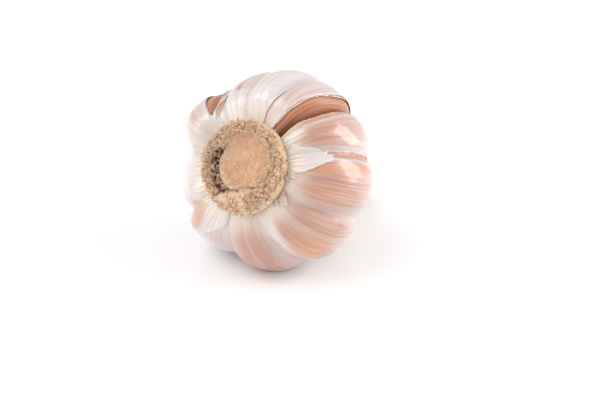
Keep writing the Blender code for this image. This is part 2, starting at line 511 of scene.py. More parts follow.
def add_mesh(name, points, faces, values, vectors):
    """A smooth mesh object, with numbers and vectors kept on its vertices."""
    mesh = bpy.data.meshes.new(name)
    mesh.from_pydata(points.reshape(-1, 3).tolist(), [], faces)
    mesh.shade_smooth()
    for marks, kind, field in ((values, "FLOAT", "value"), (vectors, "FLOAT_VECTOR", "vector")):
        for key, rows in marks.items():
            layer = mesh.attributes.new(key, kind, "POINT")
            layer.data.foreach_set(field, np.asarray(rows, np.float32).ravel())
    obj = bpy.data.objects.new(name, mesh)
    bpy.context.scene.collection.objects.link(obj)
    return obj


def grid_faces(rows, columns, closed):
    """Quads of a grid of (rows + 1) by columns vertices, or columns + 1 where it doesn't close on itself."""
    across = columns if closed else columns + 1
    row, column = np.meshgrid(np.arange(rows), np.arange(columns), indexing="ij")
    start, following = row * across, (column + 1) % across
    quads = (start + column, start + following, start + across + following, start + across + column)
    return np.stack([corner.ravel() for corner in quads], axis=1)


def tube_faces(rows, columns, turned=False):
    """A closed grid's quads and its two end faces, facing the other way where they are turned."""
    faces = grid_faces(rows, columns, closed=True).tolist()
    faces += [list(range(columns - 1, -1, -1)), list(range(rows * columns, (rows + 1) * columns))]
    return [face[::-1] for face in faces] if turned else faces


def used_only(points, faces, values, vectors):
    """The mesh without the vertices that no face uses."""
    used, renumbered = np.unique(faces, return_inverse=True)
    values = {key: np.ravel(numbers)[used] for key, numbers in values.items()}
    vectors = {key: rows.reshape(-1, 3)[used] for key, rows in vectors.items()}
    return points.reshape(-1, 3)[used], renumbered.reshape(faces.shape).tolist(), values, vectors


def settle(obj, slot, material, *nodes):
    """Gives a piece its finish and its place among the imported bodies."""
    obj.data.materials.append(material)
    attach(obj, "root")
    if nodes:
        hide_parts(*nodes)
    return obj


# --- Cloves ---


def clove_outline():
    """A clove's outline in the plane of the axis, closed: up its back and down beside the stalk."""
    back = OUTLINE.path[OUTLINE.path[:, 1] < CLOVE_TIP * MM]
    core = np.array(((CORE_RADIUS, CLOVE_TIP - 3.0), (CORE_RADIUS, CLOVE_FOOT))) * MM
    path = np.vstack((back, core, back[:1]))
    lengths = walked(path)
    return read_along(np.arange(CLOVE_SEGMENTS) / CLOVE_SEGMENTS * lengths[-1], lengths, path)


def build_clove(number, material):
    """One clove: rings from flank to flank, each a smaller copy of the outline."""
    following = (number + 1) % CLOVES
    rim = clove_outline()
    tilt = np.linspace(0.02, math.pi - 0.02, CLOVE_RINGS + 1)[:, None]
    across = -np.sign(np.cos(tilt)) * np.abs(np.cos(tilt)) ** (2.0 / FLANK_POWER)
    across = np.repeat(across, CLOVE_SEGMENTS, axis=1)
    size = np.sin(tilt) ** (2.0 / FLANK_POWER)

    depths = groove_depths(clove_widths(BULB.grooves))
    depth = np.where(across < 0.0, depths[number], depths[following])
    flush = 1.0 - smooth_step(rim[:, 1] / MM, *LOBES_END)
    share = size * (1.0 - depth * back_fall(across) * flush)
    section = HEART + (rim[None] - HEART) * share[..., None]

    table = groove_table(section[..., 1])
    starts = table[..., number]
    spans = (table[..., following] - starts) % TURN
    room = np.clip(CLOVE_GAP * MM / np.maximum(section[..., 0], 2.0 * MM), 0.0, 0.05)
    angle = starts + spans / 2.0 + across * (spans / 2.0 - room)
    section = swollen(section, angle)
    fibre = (across * 3.0 + number * 7.0, size * 0.6 + 0.0 * across, section[..., 1] / MM * 0.03)
    points = pressed(BULB.place(angle, section[..., 0], section[..., 1]), CLOVE_LEVEL)
    faces = tube_faces(CLOVE_RINGS, CLOVE_SEGMENTS, turned=True)
    obj = add_mesh(f"clove_skin_{number + 1:02d}", points, faces, {}, {"fibre": np.stack(fibre, axis=-1)})
    return settle(obj, "clove_skin", material, BULB.clove_names[number])


def clove_finish(colours):
    """Tight brown skin with fine veins along the clove and a wax-like gloss."""
    finish = Finish("clove_skin")
    fibre = finish.attribute_vector("fibre")
    broad = finish.noise(finish.scaled(fibre, (2.2, 1.0, 1.0)), 1.6, 3.0)
    veins = finish.noise(finish.scaled(fibre, (14.0, 1.0, 1.5)), 1.0, 4.0, 0.6)
    spots = finish.noise(finish.scaled(fibre, (4.0, 4.0, 14.0)), 2.0, 3.0)
    body = finish.mix(broad.between(0.35, 0.68), colours.clove, colours.clove_light)
    body = finish.mix(veins.between(0.55, 0.70) * 0.55, body, colours.clove_vein)
    body = finish.mix(spots.between(0.58, 0.75) * 0.25, body, colours.clove_light)
    roughness = 0.30 + broad * 0.12 + veins * 0.08
    return finish.finish(
        Base_Color=body,
        Roughness=roughness,
        Coat_Weight=0.25,
        Coat_Roughness=0.18,
        Normal=finish.bump(veins + spots * 0.3, 0.00012, 0.6),
    )


class GARLIC_OT_cloves(bpy.types.Operator):
    """Build the ring of cloves"""

    bl_idname = "garlic.cloves"
    bl_label = "Cloves"

    def execute(self, context):
        _, colours = settings()
        material = clove_finish(colours)
        for number in range(CLOVES):
            build_clove(number, material)
        return {"FINISHED"}


# --- Skins ---

# Regions of the skins: the rises they run over, then the angles of their two sides as (rise, angle) knots.
OUTER_TEARS = (
    # A long tear that bares a clove's side, the groove beyond it and a strip of the next clove.
    ((3.5, 54.0),
     ((3.5, 196.5), (4.8, 197.8), (7.5, 199.6), (10.2, 200.4), (13.6, 200.6), (16.4, 202.2),
      (23.2, 205.0), (28.0, 205.2), (34.0, 206.0), (44.0, 207.0), (54.0, 213.0)),
     ((3.5, 218.5), (8.8, 218.3), (12.0, 219.0), (16.4, 219.8), (22.8, 219.3), (28.0, 219.0),
      (34.0, 218.0), (44.0, 218.0), (54.0, 215.0))),
    # A slit in the next groove.
    ((14.7, 48.0),
     ((14.7, 242.2), (17.3, 243.0), (21.2, 243.0), (26.0, 243.6), (34.0, 244.4), (48.0, 247.5)),
     ((14.7, 245.6), (19.0, 247.2), (22.2, 247.0), (25.8, 247.4), (34.0, 249.0), (48.0, 248.5))),
    # Two prongs that open into a window.
    ((8.8, 37.0),
     ((8.8, 122.9), (10.7, 122.8), (15.0, 121.4), (24.0, 121.0), (31.0, 123.5), (37.0, 128.5)),
     ((8.8, 124.3), (12.1, 128.9), (15.6, 132.4), (24.0, 133.2), (31.0, 131.8), (37.0, 129.5))),
    ((7.2, 18.0),
     ((7.2, 126.2), (9.0, 126.4), (12.1, 129.7), (15.6, 134.0), (18.0, 135.0)),
     ((7.2, 127.6), (11.6, 133.8), (15.6, 136.4), (18.0, 136.8))),
)
INNER_TEARS = (
    ((3.5, 52.0),
     ((3.5, 197.3), (4.8, 198.6), (10.2, 201.4), (16.4, 203.0), (23.2, 206.0), (34.0, 207.0),
      (44.0, 208.0), (52.0, 213.0)),
     ((3.5, 214.5), (9.9, 213.4), (14.2, 214.6), (16.9, 215.2), (22.2, 215.8), (28.0, 216.5),
      (44.0, 216.8), (52.0, 214.5))),
    ((8.0, 36.0),
     ((8.0, 123.4), (15.0, 122.0), (24.0, 121.8), (31.0, 124.2), (36.0, 128.0)),
     ((8.0, 125.0), (11.6, 127.9), (15.6, 130.6), (24.0, 130.8), (31.0, 129.9), (36.0, 128.6))),
)
# Rusty patches where the paper is worn thin, and a brown seam.
PATCHES = (
    ((7.0, 34.0),
     ((7.0, 259.9), (10.9, 255.2), (13.5, 251.0), (17.5, 249.5), (26.0, 250.5), (34.0, 253.0)),
     ((7.0, 260.4), (11.4, 258.6), (18.0, 256.4), (26.0, 255.5), (34.0, 253.5))),
    ((7.0, 22.0),
     ((7.0, 34.0), (11.9, 30.5), (17.0, 33.0), (22.0, 42.0)),
     ((7.0, 35.5), (8.8, 43.0), (13.0, 48.0), (17.5, 49.0), (22.0, 44.0))),
    ((15.5, 21.5),
     ((15.5, 112.0), (18.5, 110.0), (21.5, 112.5)),
     ((15.5, 113.5), (18.5, 116.0), (21.5, 114.0))),
    ((3.5, 13.0),
     ((3.5, 184.3), (7.0, 183.8), (9.6, 185.7), (13.0, 187.6)),
     ((3.5, 186.0), (7.0, 185.3), (9.6, 187.0), (13.0, 188.2))),
)
# Loose sheets that lie over the outer skin by the root plate, and the rise where each tucks in under it.
NEVER = 99.0
FLAPS = (
    ((2.5, 16.2),
     ((2.5, 219.5), (3.7, 221.0), (6.5, 228.6), (8.5, 234.6), (11.2, 237.8), (13.0, 240.6),
      (13.8, 243.0), (16.2, 244.0)),
     ((2.5, 264.0), (7.2, 259.4), (10.9, 254.8), (13.5, 250.8), (16.2, 249.2)), NEVER),
    ((3.0, 16.0),
     ((3.0, 7.5), (8.0, 8.4), (10.0, 12.5), (12.6, 19.2), (16.0, 25.4)),
     ((3.0, 22.0), (6.0, 22.0), (9.1, 22.5), (12.0, 24.0), (16.0, 26.0)), NEVER),
    ((2.5, 24.0),
     ((2.5, 139.0), (8.0, 137.0), (12.0, 138.5), (24.0, 142.0)),
     ((2.5, 184.0), (7.0, 183.6), (9.6, 185.4), (13.0, 187.3), (24.0, 188.0)), 12.0),
)
# Where the skins are tanned, with two spots of painted shade on shaded lobes: the middle's rise and angle,
# the reach each way, and how much more or less.
TAN_SPOTS = (
    (13.0, 230.0, 8.0, 8.0, 0.35),
    (7.5, 221.5, 3.0, 4.0, -0.5),
    (14.0, 267.0, 8.0, 9.0, 0.25),
    (13.0, 249.0, 8.0, 3.5, -0.35),
    (12.0, 320.5, 12.0, 5.0, -0.8),
    (15.0, 351.0, 13.0, 2.6, 0.35),
    # Painted shade on a lobe's flank that faces away from the light.
    (13.0, 339.0, 13.0, 5.0, 0.60),
    # Painted shade at the top of a lobe beside its groove.
    (14.0, 288.0, 9.0, 4.5, 0.55),
    (15.0, 3.0, 12.0, 4.0, -0.25),
    (16.5, 18.0, 4.5, 6.0, 0.20),
    (13.5, 148.5, 4.0, 2.0, 0.75),
    (16.0, 112.0, 10.0, 3.0, 0.30),
    (18.0, 203.0, 9.0, 4.0, 0.25),
    (12.0, 193.0, 7.0, 2.5, 0.20),
)
RUST_SPOTS = (
    (21.5, 309.0, 5.0, 8.0, 1.50),
    (16.0, 271.0, 5.0, 8.0, 0.45),
    (18.0, 108.0, 9.0, 12.0, 0.16),
    (18.0, 294.0, 5.0, 6.0, 0.18),
    (30.0, 262.0, 7.0, 10.0, 0.15),
)

# How far in from a torn edge the paper is pale, and how far in it curls.
TORN_WIDTH, CURL_WIDTH = 0.3, 0.8

# How far below the neck's top the sheets end, and how jagged that end is.
NECK_END, NECK_JAG = 1.8, 1.6

# Seeds of the pieces' random draws.
INNER_SEED, OUTER_SEED, FLAP_SEED, SCRAP_SEED = 11, 23, 51, 71
RELIEF_SEED, MARKS_SEED, ROOT_SEED, STALK_SEED = 26, 41, 5, 91


def region_distance(angle, rise, regions):
    """How far outside every region a place is, in metres; below zero it is inside one."""
    radius = OUTLINE.radius(rise)
    nearest = np.full(angle.shape, 1.0)
    for (low, high), first, second in regions:
        start = np.radians(spline(first, rise / MM))
        end = np.radians(spline(second, rise / MM))
        sides = np.maximum(wrapped(start - angle), wrapped(angle - end)) * radius
        ends = np.maximum(low * MM - rise, rise - high * MM)
        nearest = np.minimum(nearest, np.maximum(sides, ends))
    return nearest


def ragged(angle, rise, seed):
    """A little unevenness for torn edges, in metres."""
    coarse = ripples(angle, rise, seed, (31, 47, 71, 97), 0.9)
    fine = ripples(angle, rise, seed + 1, (137, 181, 229, 283), 2.6)
    return (0.12 * coarse + 0.07 * fine) * MM


def snap_to_edge(angle, rise, distance_at, cell):
    """The grid with the points close to a torn edge moved onto it, and how far out every point is."""
    step = 0.02 * MM
    for _ in range(3):
        radius = OUTLINE.radius(rise)
        here = distance_at(angle, rise)
        slope_x = (distance_at(angle + step / radius, rise) - here) / step
        slope_y = (distance_at(angle, rise + step) - here) / step
        steep = np.maximum(slope_x**2 + slope_y**2, 0.25)
        move = np.where(np.abs(here) < 0.55 * cell, -here / steep, 0.0)
        angle = angle + np.clip(move * slope_x, -cell, cell) / radius
        rise = rise + np.clip(move * slope_y, -cell, cell)
    return angle, rise, distance_at(angle, rise)


# How tan the skin looks over each clove, in the order of the imported nodes; the first clove's value is
# partly painted shade on its shaded flank.
CLOVE_TAN = np.array((0.84, 0.14, 0.08, 0.20, 0.28, 0.10, 0.30, 0.80, 0.88, 1.00))


def spots(table, angle, rise):
    """The soft spots of a table, added up at each place."""
    total = np.zeros(angle.shape)
    for spot_rise, spot_angle, reach, spread, amount in table:
        along = (rise / MM - spot_rise) / reach
        round_it = wrapped(angle - math.radians(spot_angle)) / math.radians(spread)
        total += amount * np.exp(-(along**2) - round_it**2)
    return total


def skin_marks(angle, rise, away):
    """The numbers and the vector that the skins' finish reads at each place."""
    clove, across, _ = clove_under(angle, OUTLINE.at(rise)[0][..., 1])
    fibre = fibre_angle(clove, across)
    walk = rise / MM
    # Tan grows above the root plate and fades towards the belly; the fade is partly real and partly a
    # painted reflection that whitens the upper flanks.
    along = smooth_step(walk, 3.0, 12.0) * (1.0 - 0.6 * smooth_step(walk, 21.0, 34.0))
    crest = 1.0 - 0.6 * np.abs(across) ** 4
    uneven = 0.9 + 0.35 * ripples(fibre, rise, MARKS_SEED, (4, 7, 12, 19), 0.05)
    # The skins' tan: mostly their real colour, with painted shade from two spots and the first clove, and a
    # fade with rise that is partly a painted reflection.
    tan = CLOVE_TAN[clove] * crest * along * uneven + spots(TAN_SPOTS, angle, rise)
    values = {
        "torn": np.exp(-np.maximum(away, 0.0) / (TORN_WIDTH * MM)),
        "tan": np.clip(tan, 0.0, 1.0),
        "rust": spots(RUST_SPOTS, angle, rise),
        "patch": np.clip(-region_distance(angle, rise, PATCHES) / MM, -2.0, 2.0),
        "root_end": 1.0 - smooth_step(walk, 4.5, 13.0),
        # Nearness to a groove, which sets the painted shade in the skins' finish.
        "groove": np.abs(across) ** 4,
    }
    return values, {"fibre": np.stack((np.cos(fibre), np.sin(fibre), walk * 0.012), axis=-1)}


def skin_relief(angle, rise):
    """How high every skin stands over its sheet: folds at both ends, and fine ribs along it."""
    sizes, _ = settings()
    walk, to_end = rise / MM, (OUTLINE.length - rise) / MM
    gather = np.exp(-np.maximum(walk - 5.0, 0.0) / 7.0) * smooth_step(walk, 1.0, 5.0)
    folds = 1.0 - smooth_step(to_end, 8.0, 26.0)
    return (
        sizes.pucker * gather * ripples(angle, rise, RELIEF_SEED, (61, 73, 89, 103), 0.02)
        + 0.50 * MM * folds * ripples(angle, rise, RELIEF_SEED + 1, (7, 11, 17, 23), 0.03)
        + 0.10 * MM * ripples(angle, rise, RELIEF_SEED + 2, (5, 8, 13, 21), 0.08)
        + 0.05 * MM * ripples(angle, rise, RELIEF_SEED + 3, (43, 59, 77, 96, 113), 0.01)
    )


def build_skin(name, lift, tears, seed, level):
    """A whole sheet of skin with its tears cut out and a ragged end at the neck."""
    sizes, _ = settings()
    columns, rows = sizes.skin_columns, sizes.skin_rows
    angles = TURN * np.arange(columns) / columns
    rise, angle = np.meshgrid(np.linspace(0.0, OUTLINE.length, rows + 1), angles, indexing="ij")

    def distance_at(angle, rise):
        end_jag = NECK_JAG * MM * ripples(angle, rise, seed + 7, (3, 7, 12, 19, 29), 0.0)
        end = OUTLINE.length - NECK_END * MM - rise + end_jag
        return np.minimum(region_distance(angle, rise, tears) + ragged(angle, rise, seed), end)

    angle, rise, away = snap_to_edge(angle, rise, distance_at, OUTLINE.length / rows)
    uneven = 0.5 + 0.5 * ripples(angle, rise, seed + 2, (9, 14, 23), 0.5)
    curl = sizes.curl * np.exp(-np.maximum(away, 0.0) / (CURL_WIDTH * MM)) * uneven
    height = np.maximum(lift * MM + skin_relief(angle, rise) + curl, 0.5 * lift * MM)
    points = skin_points(angle, rise, height, SHEET_DIP, level)
    faces = grid_faces(rows, columns, closed=True)
    whole = (away.ravel()[faces] > -0.02 * MM).all(axis=1)
    marks = skin_marks(angle, rise, away)
    return thickened(add_mesh(name, *used_only(points, one_sheet(faces[whole]), *marks)))


def one_sheet(faces):
    """The faces that hang together as the largest sheet, without the crumbs between ragged edges."""
    sheet = np.arange(faces.max() + 1)
    while True:
        joined = sheet.copy()
        np.minimum.at(joined, faces, sheet[faces].min(axis=1)[:, None])
        joined = joined[joined]
        if (joined == sheet).all():
            break
        sheet = joined
    return faces[sheet[faces[:, 0]] == np.bincount(sheet[faces[:, 0]]).argmax()]


def thickened(obj):
    solid = obj.modifiers.new("paper", "SOLIDIFY")
    solid.thickness = settings()[0].paper
    solid.offset = 1.0
    return obj


def shares(rows, columns):
    """How far along and across a grid of faces each of its corners is, from 0 to 1."""
    return np.meshgrid(np.linspace(0.0, 1.0, rows + 1), np.linspace(0.0, 1.0, columns + 1), indexing="ij")


def build_flap(name, region, seed, rows=60, columns=80):
    """A loose sheet between two sides, that lifts towards its edges and may tuck in under the skin."""
    (low, high), first, second, tuck = region
    along, across = shares(rows, columns)
    jag = ripples(across * 3.0, along * 0.0, seed, (3, 5, 9, 14, 22), 0.0) * 0.9
    rise = (low + (high - low + jag * smooth_step(along, 0.6, 1.0)) * along) * MM
    start, end = np.radians(spline(first, rise / MM)), np.radians(spline(second, rise / MM))
    angle = start + (end - start) * across
    radius = OUTLINE.radius(rise)
    side = np.minimum(across, 1.0 - across) * (end - start) * radius
    angle += (ragged(angle, rise * 1.7, seed + 1) * np.exp(-side / (0.8 * MM))) / radius
    away = np.minimum(side, (high * MM - rise) * 0.6)
    height = FLAP_LIFT * MM + skin_relief(angle, rise) + 0.16 * MM * np.exp(-away / (1.3 * MM))
    height += 0.05 * MM * ripples(angle, rise, seed + 2, (37, 51, 83), 0.6)
    height = np.maximum(height, 0.35 * MM) - 0.35 * MM * smooth_step(rise / MM, tuck, tuck + 5.0)
    points = skin_points(angle, rise, height, LOOSE_DIP, LOOSE_LEVEL)
    values, vectors = skin_marks(angle, rise, away)
    nothing = np.zeros(points.shape[:-1])
    values.update(tan=values["tan"] * 0.12, rust=nothing, patch=nothing - 2.0)
    faces = grid_faces(rows, columns, closed=False).tolist()
    return thickened(add_mesh(name, points, faces, values, vectors))


def skin_finish(colours, name, base_tan, base_rust, gloss=0.9):
    """Silky paper: white with tanned stretches over the cloves, pink-brown veins, a cream root end and
    painted shade in the grooves.
    """
    finish = Finish(name)
    fibre = finish.attribute_vector("fibre")
    torn, tan, rust, patch = finish.attributes("torn", "tan", "rust", "patch")
    root_end, groove = finish.attributes("root_end", "groove")
    broad = finish.noise(finish.scaled(fibre, (1.0, 1.0, 0.9)), 4.0, 3.0, 0.55)
    streaks = finish.noise(finish.scaled(fibre, (1.0, 1.0, 0.16)), 15.0, 3.0, 0.6)
    lines = finish.noise(finish.scaled(fibre, (1.0, 1.0, 0.07)), 42.0, 2.0, 0.6)
    hairs = finish.noise(finish.scaled(fibre, (1.0, 1.0, 0.05)), 100.0, 1.0, 0.5)
    waver = finish.noise(finish.scaled(fibre, (1.0, 1.0, 0.10)), 11.0, 1.0, 0.5)
    vein = 1.0 - abs(waver - 0.5).between(0.0, 0.016)

    # Tan mixed over the paper, which also brings in the painted shade and the painted reflection that the
    # tan mark carries.
    shown = (tan * (0.70 + streaks * 0.9) + (broad - 0.5) * 0.45 * (tan + 0.25) + base_tan).clamped()
    body = finish.mix(shown, colours.paper, colours.tan)
    body = finish.mix((rust * (0.55 + streaks * 0.9) + base_rust).clamped(), body, colours.rust)
    worn = (patch + (streaks - 0.5) * 1.2 + (hairs - 0.5) * 0.6).between(-0.30, 0.45)
    body = finish.mix(worn * (0.55 + streaks * 0.4), body, colours.rust)
    body = finish.mix(streaks.between(0.57, 0.74) * (0.42 - rust.clamped() * 0.30), body, colours.paper)
    body = finish.mix(lines.between(0.52, 0.68) * (0.20 + tan * 0.50), body, colours.vein)
    body = finish.mix(vein * (0.16 + tan * 0.40), body, colours.vein)
    body = finish.mix(hairs.between(0.54, 0.70) * 0.24, body, colours.paper)
    body = finish.mix(root_end * (0.20 + lines * 0.75), body, colours.cream)
    # Painted shade: the skins are darker towards the grooves between the cloves.
    body = finish.mix(groove * 0.40, body, colours.shade)
    body = finish.mix(torn * 0.85, body, colours.paper)
    relief = streaks * 0.6 + lines * 0.7 + hairs * 0.3
    return finish.finish(
        Base_Color=body,
        Roughness=0.36 + lines * 0.14 + torn * 0.15,
        Coat_Weight=gloss,
        Coat_IOR=1.7,
        Coat_Roughness=0.15,
        Normal=finish.bump(relief, 0.00020, 0.55),
    )


class GARLIC_OT_inner_skin(bpy.types.Operator):
    """Build the thin inner skin"""

    bl_idname = "garlic.inner_skin"
    bl_label = "Inner skin"

    def execute(self, context):
        _, colours = settings()
        material = skin_finish(colours, "inner_skin", 0.80, 0.75, 0.25)
        obj = build_skin("inner_paper", INNER_LIFT, INNER_TEARS, INNER_SEED, INNER_LEVEL)
        settle(obj, "inner_skin", material, "inner_skin")
        return {"FINISHED"}


class GARLIC_OT_outer_skin(bpy.types.Operator):
    """Build the outer skin with its tears"""

    bl_idname = "garlic.outer_skin"
    bl_label = "Outer skin"

    def execute(self, context):
        _, colours = settings()
        material = skin_finish(colours, "outer_skin", 0.0, 0.0)
        obj = build_skin("outer_paper", OUTER_LIFT, OUTER_TEARS, OUTER_SEED, OUTER_LEVEL)
        settle(obj, "outer_skin", material, "outer_skin")
        return {"FINISHED"}


# Small scraps of paper by the root plate: rise, angle, length, width and how far their free end lifts.
SCRAPS = (
    (4.6, 262.0, 2.6, 2.2, 1.0),
    (3.6, 268.0, 2.0, 1.6, 1.3),
    (5.2, 292.0, 3.0, 2.6, 1.1),
    (4.4, 300.0, 2.4, 1.8, 1.5),
    (4.2, 286.0, 1.8, 1.5, 0.9),
    (3.4, 244.0, 1.8, 1.4, 0.8),
    (4.2, 231.0, 2.2, 1.6, 0.7),
    (3.6, 322.0, 2.2, 1.8, 0.9),
    (3.4, 338.0, 2.6, 3.2, 0.7),
    (3.6, 350.0, 2.0, 2.6, 0.6),
    (3.4, 206.0, 1.6, 1.2, 0.8),
    (3.2, 96.0, 1.8, 1.4, 0.6),
    (3.6, 64.0, 1.8, 1.6, 0.7),
    (3.4, 150.0, 1.8, 1.6, 0.5),
)


class GARLIC_OT_paper_scraps(bpy.types.Operator):
    """Build the loose flaps and scraps of paper that lie over the outer skin"""

    bl_idname = "garlic.paper_scraps"
    bl_label = "Paper scraps"

    def execute(self, context):
        _, colours = settings()
        material = skin_finish(colours, "loose_paper", 0.0, 0.0)
        for number, region in enumerate(FLAPS):
            settle(build_flap(f"flap_{number + 1}", region, FLAP_SEED + 7 * number), "outer_skin", material)
        settle(self.build_scraps(), "outer_skin", material)
        return {"FINISHED"}

    def build_scraps(self):
        """Small ragged petals, fixed at the root plate and lifting away from it."""
        draw = np.random.default_rng(SCRAP_SEED)
        pile = Pile()
        for rise, angle, length, width, lift in SCRAPS:
            v, u = shares(12, 12)
            u = 2.0 * u - 1.0
            jags = np.interp(v, np.linspace(0.0, 1.0, 7), draw.uniform(0.75, 1.15, 7))
            jags = jags * np.sqrt(np.clip(1.0 - (v * 1.02 - 0.25).clip(0.0) ** 2.2, 0.02, 1.0))
            at_rise = (rise + (v - 0.25) * length + 0.15 * length * np.cos(u * draw.uniform(2.0, 4.0))) * MM
            radius = OUTLINE.radius(at_rise)
            turn = draw.uniform(-0.4, 0.4)
            at_angle = math.radians(angle) + (u * jags * width / 2.0 + turn * v * length) * MM / radius
            wave = np.cos(u * draw.uniform(2.0, 3.5) + draw.uniform(0.0, 3.0))
            curve = lift * v**1.6 * (1.0 + 0.35 * wave)
            points = skin_points(at_angle, at_rise, (SCRAP_LIFT + curve) * MM, LOOSE_DIP, LOOSE_LEVEL)
            values, vectors = skin_marks(at_angle, at_rise, (1.0 - np.abs(u)) * width / 2.0 * MM)
            values.update(tan=draw.uniform(0.0, 0.3), rust=0.0, patch=-2.0)
            pile.add(points, grid_faces(12, 12, closed=False).tolist(), values, vectors)
        return thickened(pile.mesh("paper_scraps"))


# --- Root plate and stalk ---

# The plate's own axes across its face are turned by this much from the resting side.
PLATE_TURN = math.radians(163.0)

# The plate's rim, which bends back by its fall, and how far behind its face the plate ends.
PLATE_RIM = 12.6
RIM_START = 11.2
RIM_FALL = 3.4
PLATE_BACK = 4.5
BACK_SHARE = 0.72

# The smooth disc in its middle and the crack below it, in millimetres across and up the face.
DISC_CENTRE = (1.7, 1.6)
DISC_RADIUS = 7.2
CRACK = ((-7.8, -6.6), (4.8, -5.7))
CRACK_WIDTH = 0.42

# How deep the disc, the smooth low side, the cleft beside the disc and the crack lie.
DISC_DEPTH, LOW_SIDE_DEPTH, CLEFT_DEPTH, CRACK_DEPTH = 0.9, 0.4, 2.4, 0.6
CLEFT_RADIUS, CLEFT_WIDTH = 8.3, 1.25

# Where the cork is weathered grey, and how wide the ring of roots is.
GREY_SPOT = (-6.5, 7.5)
ROOT_RING = 4.6
STUB_SIDES, THREAD_SIDES = 7, 4


class Pile:
    """Points, faces and marks of many small pieces, gathered into one mesh."""

    def __init__(self):
        self.points, self.faces, self.count = [], [], 0
        self.values, self.vectors = {}, {}

    def add(self, points, faces, values, vectors):
        points = points.reshape(-1, 3)
        self.points.append(points)
        self.faces += [[corner + self.count for corner in face] for face in faces]
        self.count += len(points)
        for key, value in values.items():
            self.values.setdefault(key, []).append(np.broadcast_to(np.ravel(value), len(points)))
        for key, rows in vectors.items():
            self.vectors.setdefault(key, []).append(rows.reshape(-1, 3))

    def mesh(self, name):
        values = {key: np.concatenate(rows) for key, rows in self.values.items()}
        vectors = {key: np.concatenate(rows) for key, rows in self.vectors.items()}
        return add_mesh(name, np.concatenate(self.points), self.faces, values, vectors)


def plate_axes():
    """Directions across the plate's face (rightwards and upwards of the bulb as it lies) and out of it."""
    cos, sin = math.cos(PLATE_TURN), math.sin(PLATE_TURN)
    upwards = BULB.rest * cos + BULB.side * sin
    return np.cross(upwards, -BULB.axis), upwards, -BULB.axis


def plate_points(places):
    """World points from places across, up and behind the plate's face, in millimetres."""
    first, second, out = plate_axes()
    across, upwards, depth = (places[..., n, None] for n in range(3))
    return BULB.origin + (across * first + upwards * second - depth * out) * MM


def lumps(places, scale, octaves=3):
    """Fractal unevenness at these places, about -1 to 1."""
    rows = [noise.fractal(Vector(place) * scale, 0.7, 2.1, octaves) for place in places.reshape(-1, 3)]
    return np.array(rows).reshape(places.shape[:-1])


def bell(value, middle, width):
    return np.exp(-(((value - middle) / width) ** 2))


def from_crack(x, y):
    """How far places on the face are from the wandering crack."""
    (x0, y0), (x1, y1) = CRACK
    long, high = x1 - x0, y1 - y0
    share = np.clip(((x - x0) * long + (y - y0) * high) / (long**2 + high**2), 0.0, 1.0)
    wander = 0.25 * np.sin(x * 1.1) + 0.12 * np.sin(x * 2.9 + 1.0)
    return np.hypot(x - x0 - share * long, y - y0 - share * high - wander)


def plate_form(x, y):
    """The plate's depth behind its face, how much painted shade and darker tone it gets, and how smooth it
    is there.
    """
    radius = np.hypot(x, y)
    from_disc = np.hypot(x - DISC_CENTRE[0], y - DISC_CENTRE[1]) - DISC_RADIUS
    disc = 1.0 - smooth_step(from_disc, -0.9, 0.5)
    low_side = smooth_step(-y, 6.2, 7.2) * (1.0 - smooth_step(radius, 10.4, 11.6))
    low_side *= 1.0 - smooth_step(x, 1.0, 3.5)
    cleft = bell(radius, CLEFT_RADIUS, CLEFT_WIDTH) * smooth_step(-x, 2.5, 6.0)
    cleft *= 1.0 - smooth_step(np.abs(y + 0.6), 4.5, 7.0)
    crack = bell(from_crack(x, y), 0.0, CRACK_WIDTH)
    rim = RIM_FALL * smooth_step(radius, RIM_START, PLATE_RIM) ** 1.3

    smooth = np.maximum(disc, low_side)
    places = np.stack((x, y, np.zeros_like(x)), axis=-1)
    coarse, fine = lumps(places, 0.75), lumps(places + 40.0, 2.2)
    bumps = (0.45 * coarse + 0.30 * fine) * (1.0 - 0.55 * smooth)
    bumps *= 1.0 - 0.6 * smooth_step(radius, RIM_START + 0.3, PLATE_RIM)
    hollow = DISC_DEPTH * disc + LOW_SIDE_DEPTH * low_side + CLEFT_DEPTH * cleft + CRACK_DEPTH * crack
    # Painted shade in the low spots between the lumps and along the crack's ledge; the cleft is simply made
    # darker.
    low_spot_shade = np.clip(-coarse - fine * 0.6, 0.0, 1.0) * (1.0 - smooth)
    shade_and_dark_tone = np.clip(cleft * 1.6 + crack * 0.45 + low_spot_shade * 0.35, 0.0, 1.0)
    return hollow + rim - bumps, shade_and_dark_tone, smooth


def cork_finish(colours, name):
    """Dry cork: fibres, dark grains, weathered grey bits, painted shade in the hollows, and darker tone in
    the cleft and at the cut neck.
    """
    finish = Finish(name)
    place = finish.attribute_vector("place")
    shade_and_dark_tone, light, grey = finish.attributes("shade_and_dark_tone", "light", "grey")
    broad = finish.noise(place, 0.35, 3.0)
    fibres = finish.noise(finish.scaled(place, (2.6, 0.7, 1.0)), 1.6, 4.0, 0.65, 0.5)
    grains = finish.noise(place, 2.6, 3.0, 0.75)
    fresh = (light * 0.75 + (broad - 0.5) * 0.9 + (fibres - 0.5) * 2.0).clamped()
    body = finish.mix(fresh, colours.cork, colours.cork_light)
    body = finish.mix(grey * (0.4 + grains * 0.7), body, colours.cork_grey)
    body = finish.mix(grains.between(0.54, 0.68) * 0.22, body, colours.cork_dark)
    # Painted shade in the hollows and at the roots' feet, and darker tone in the cleft and at the cut neck.
    body = finish.mix(shade_and_dark_tone, body, colours.cork_dark)
    return finish.finish(
        Base_Color=body,
        Roughness=0.72 + grains * 0.2,
        Normal=finish.bump(fibres * 0.9 + grains * 0.6, 0.0005, 0.9),
    )


